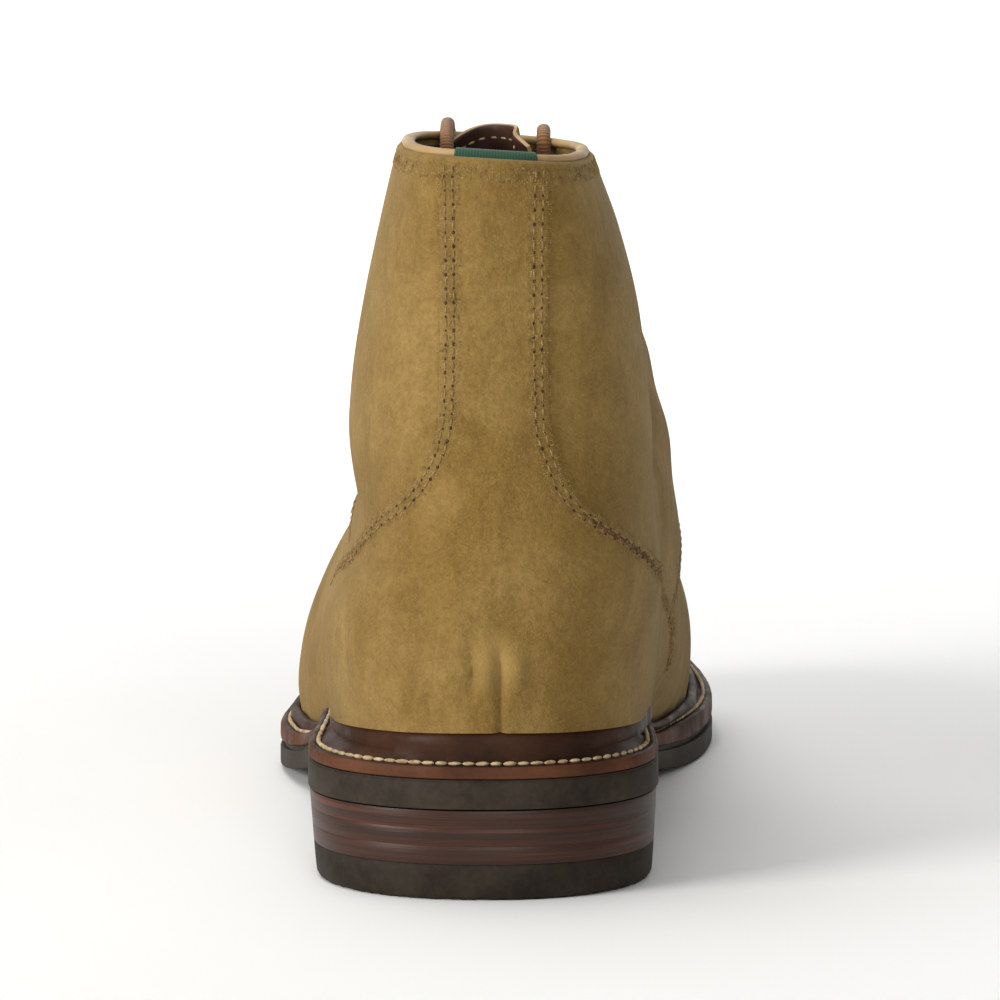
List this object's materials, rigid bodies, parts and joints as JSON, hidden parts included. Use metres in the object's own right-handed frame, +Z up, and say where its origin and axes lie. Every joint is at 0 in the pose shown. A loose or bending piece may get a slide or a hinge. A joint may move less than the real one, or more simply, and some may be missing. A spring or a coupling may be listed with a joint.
{
  "type": "moc toe boot",
  "caption": "Left ankle boot in suede with a moc toe apron, derby lacing, storm welt, rubber sole and stacked leather heel.",
  "frame": {"origin": "on the floor, under the middle of the boot's length and width", "axes": "+Y from heel to toe along the boot, +Z up, +X to the wearer's inside (medial)"},
  "size_m": [0.1084, 0.305, 0.1626],
  "materials": {
    "sand_suede": "napped suede with a soft bloom",
    "tan_binding_leather": "smooth rolled edge",
    "brown_lining_leather": "smooth",
    "dark_brown_welt_leather": "burnished",
    "stacked_heel_leather": "polished layered edge",
    "grey_brown_rubber": "matt",
    "green_ribbed_tape": "ribbed weave",
    "tan_cord": "twisted cord",
    "aged_brass": "satin"
  },
  "bodies": {
    "root": {"apron": "sand_suede", "collar_binding": "tan_binding_leather", "eyelet_lateral_1": "aged_brass", "eyelet_lateral_2": "aged_brass", "eyelet_lateral_3": "aged_brass", "eyelet_lateral_4": "aged_brass", "eyelet_lateral_5": "aged_brass", "eyelet_lateral_6": "aged_brass", "eyelet_medial_1": "aged_brass", "eyelet_medial_2": "aged_brass", "eyelet_medial_3": "aged_brass", "eyelet_medial_4": "aged_brass", "eyelet_medial_5": "aged_brass", "eyelet_medial_6": "aged_brass", "heel_counter": "sand_suede", "heel_lift_1": "stacked_heel_leather", "heel_lift_2": "stacked_heel_leather", "heel_lift_3": "stacked_heel_leather", "heel_tape": "green_ribbed_tape", "heel_top_piece": "grey_brown_rubber", "insole": "brown_lining_leather", "lace_bar_2": "tan_cord", "lace_bar_3": "tan_cord", "lace_bar_4": "tan_cord", "lace_bar_5": "tan_cord", "lace_bar_6": "tan_cord", "lace_end_lateral": "tan_cord", "lace_end_medial": "tan_cord", "outsole": "grey_brown_rubber", "quarter_lateral": "sand_suede", "quarter_medial": "sand_suede", "tongue": "brown_lining_leather", "upper": "sand_suede", "welt": "dark_brown_welt_leather"}
  },
  "joints": []
}
